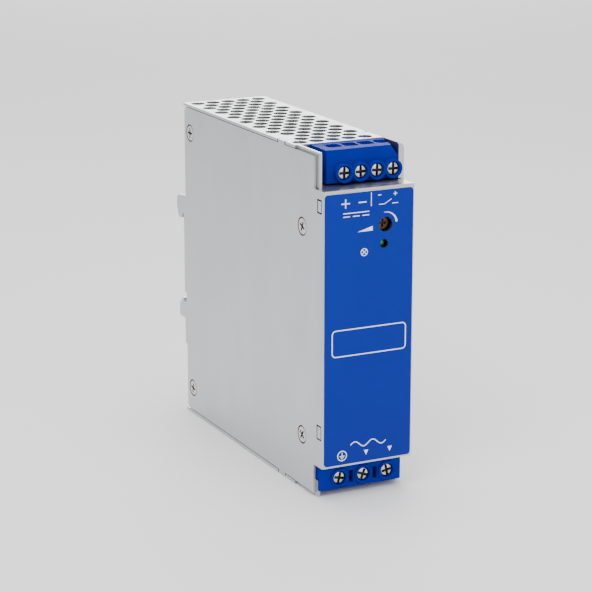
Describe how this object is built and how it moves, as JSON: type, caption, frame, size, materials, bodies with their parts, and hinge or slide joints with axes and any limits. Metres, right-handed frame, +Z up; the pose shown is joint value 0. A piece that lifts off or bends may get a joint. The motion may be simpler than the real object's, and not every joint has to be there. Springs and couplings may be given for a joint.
{
  "type": "din rail power supply",
  "caption": "Slim metal-cased power supply with a blue front label, screw terminals above and below and a sprung rail latch.",
  "frame": {"origin": "centre of the face that rests on the rail, behind the rear wall", "axes": "+X across the width to the right as seen from the front, +Y back into the rail, +Z up, so the front label faces -Y"},
  "size_m": [0.036, 0.129, 0.1234],
  "materials": {
    "zinc_steel": "satin zinc-coated sheet",
    "nickel_steel": "bright nickel plate",
    "spring_wire": "drawn wire",
    "blue_plastic": "moulded, satin",
    "blue_film": "printed polyester film",
    "tinned_copper": "tinned",
    "board_laminate": "solder mask",
    "ferrite": "sintered",
    "winding_tape": "polyester tape",
    "aluminium": "mill",
    "black_plastic": "moulded",
    "capacitor_sleeve": "shrunk sleeve",
    "trimmer_amber": "moulded",
    "lamp_green": "clear tinted",
    "insulation_film": "film",
    "fuse_ceramic": "glazed"
  },
  "bodies": {
    "housing": {"chassis": "zinc_steel", "cover": "zinc_steel", "front_label": "blue_film", "case_screw_1": "nickel_steel", "case_screw_2": "nickel_steel", "case_screw_3": "nickel_steel", "case_screw_4": "nickel_steel", "output_terminal_block": "blue_plastic", "input_terminal_block": "blue_plastic", "output_contact_1": "tinned_copper", "output_contact_2": "tinned_copper", "output_contact_3": "tinned_copper", "output_contact_4": "tinned_copper", "input_contact_1": "tinned_copper", "input_contact_2": "tinned_copper", "input_contact_3": "tinned_copper", "rail_bracket": "zinc_steel", "latch_spring": "spring_wire", "bracket_screw_1": "nickel_steel", "bracket_screw_2": "nickel_steel", "latch_rivet_1": "nickel_steel", "latch_rivet_2": "nickel_steel", "trimmer_body": "black_plastic", "status_lamp": "lamp_green", "main_board": "board_laminate", "control_board": "board_laminate", "output_board": "board_laminate", "input_board": "board_laminate", "insulation_sheet": "insulation_film", "board_standoff_1": "nickel_steel", "board_standoff_2": "nickel_steel", "board_standoff_3": "nickel_steel", "transformer_core": "ferrite", "transformer_winding": "winding_tape", "line_choke_core": "ferrite", "line_choke_base": "black_plastic", "bulk_capacitor": "capacitor_sleeve", "output_capacitor_1": "capacitor_sleeve", "output_capacitor_2": "capacitor_sleeve", "output_inductor": "winding_tape", "heat_sink": "aluminium", "power_transistor": "black_plastic", "bridge_rectifier": "black_plastic", "line_fuse": "fuse_ceramic"},
    "output_screw_1": {"output_screw_1": "nickel_steel"},
    "output_cage_1": {"output_cage_1": "nickel_steel"},
    "output_screw_2": {"output_screw_2": "nickel_steel"},
    "output_cage_2": {"output_cage_2": "nickel_steel"},
    "output_screw_3": {"output_screw_3": "nickel_steel"},
    "output_cage_3": {"output_cage_3": "nickel_steel"},
    "output_screw_4": {"output_screw_4": "nickel_steel"},
    "output_cage_4": {"output_cage_4": "nickel_steel"},
    "input_screw_1": {"input_screw_1": "nickel_steel"},
    "input_cage_1": {"input_cage_1": "nickel_steel"},
    "input_screw_2": {"input_screw_2": "nickel_steel"},
    "input_cage_2": {"input_cage_2": "nickel_steel"},
    "input_screw_3": {"input_screw_3": "nickel_steel"},
    "input_cage_3": {"input_cage_3": "nickel_steel"},
    "rail_latch": {"rail_latch": "zinc_steel"},
    "trimmer_rotor": {"trimmer_rotor": "trimmer_amber"}
  },
  "joints": [
    {"name": "output_screw_1_turn", "type": "hinge", "parent": "housing", "child": "output_screw_1", "pos_m": [-0.006, -0.1142, 0.0539], "axis": [0, -1, 0], "range_deg": [-1261, 0]},
    {"name": "output_cage_1_slide", "type": "slide", "parent": "housing", "child": "output_cage_1", "axis": [0, -1, 0], "range_m": [0, 0.00245]},
    {"name": "output_screw_2_turn", "type": "hinge", "parent": "housing", "child": "output_screw_2", "pos_m": [0.00035, -0.1142, 0.0539], "axis": [0, -1, 0], "range_deg": [-1261, 0]},
    {"name": "output_cage_2_slide", "type": "slide", "parent": "housing", "child": "output_cage_2", "axis": [0, -1, 0], "range_m": [0, 0.00245]},
    {"name": "output_screw_3_turn", "type": "hinge", "parent": "housing", "child": "output_screw_3", "pos_m": [0.0067, -0.1142, 0.0539], "axis": [0, -1, 0], "range_deg": [-1261, 0]},
    {"name": "output_cage_3_slide", "type": "slide", "parent": "housing", "child": "output_cage_3", "axis": [0, -1, 0], "range_m": [0, 0.00245]},
    {"name": "output_screw_4_turn", "type": "hinge", "parent": "housing", "child": "output_screw_4", "pos_m": [0.01305, -0.1142, 0.0539], "axis": [0, -1, 0], "range_deg": [-1261, 0]},
    {"name": "output_cage_4_slide", "type": "slide", "parent": "housing", "child": "output_cage_4", "axis": [0, -1, 0], "range_m": [0, 0.00245]},
    {"name": "input_screw_1_turn", "type": "hinge", "parent": "housing", "child": "input_screw_1", "pos_m": [-0.0089, -0.1172, -0.055], "axis": [0, -1, 0], "range_deg": [-1621, 0]},
    {"name": "input_cage_1_slide", "type": "slide", "parent": "housing", "child": "input_cage_1", "axis": [0, -1, 0], "range_m": [0, 0.00315]},
    {"name": "input_screw_2_turn", "type": "hinge", "parent": "housing", "child": "input_screw_2", "pos_m": [0.0006, -0.1172, -0.055], "axis": [0, -1, 0], "range_deg": [-1621, 0]},
    {"name": "input_cage_2_slide", "type": "slide", "parent": "housing", "child": "input_cage_2", "axis": [0, -1, 0], "range_m": [0, 0.00315]},
    {"name": "input_screw_3_turn", "type": "hinge", "parent": "housing", "child": "input_screw_3", "pos_m": [0.0101, -0.1172, -0.055], "axis": [0, -1, 0], "range_deg": [-1621, 0]},
    {"name": "input_cage_3_slide", "type": "slide", "parent": "housing", "child": "input_cage_3", "axis": [0, -1, 0], "range_m": [0, 0.00315]},
    {"name": "rail_latch_slide", "type": "slide", "parent": "housing", "child": "rail_latch", "axis": [0, 0, -1], "range_m": [0, 0.0035], "stiffness_N_per_m": 900, "springref_m": -0.003, "deforming": ["latch_spring"]},
    {"name": "trimmer_turn", "type": "hinge", "parent": "housing", "child": "trimmer_rotor", "pos_m": [0.0061, -0.1196, 0.0364], "axis": [0, -1, 0], "range_deg": [-135, 135]}
  ],
  "couplings": [
    {"joint": "output_screw_1_turn", "follows": "output_cage_1_slide", "rad_per_m": -8976},
    {"joint": "output_screw_2_turn", "follows": "output_cage_2_slide", "rad_per_m": -8976},
    {"joint": "output_screw_3_turn", "follows": "output_cage_3_slide", "rad_per_m": -8976},
    {"joint": "output_screw_4_turn", "follows": "output_cage_4_slide", "rad_per_m": -8976},
    {"joint": "input_screw_1_turn", "follows": "input_cage_1_slide", "rad_per_m": -8976},
    {"joint": "input_screw_2_turn", "follows": "input_cage_2_slide", "rad_per_m": -8976},
    {"joint": "input_screw_3_turn", "follows": "input_cage_3_slide", "rad_per_m": -8976}
  ]
}
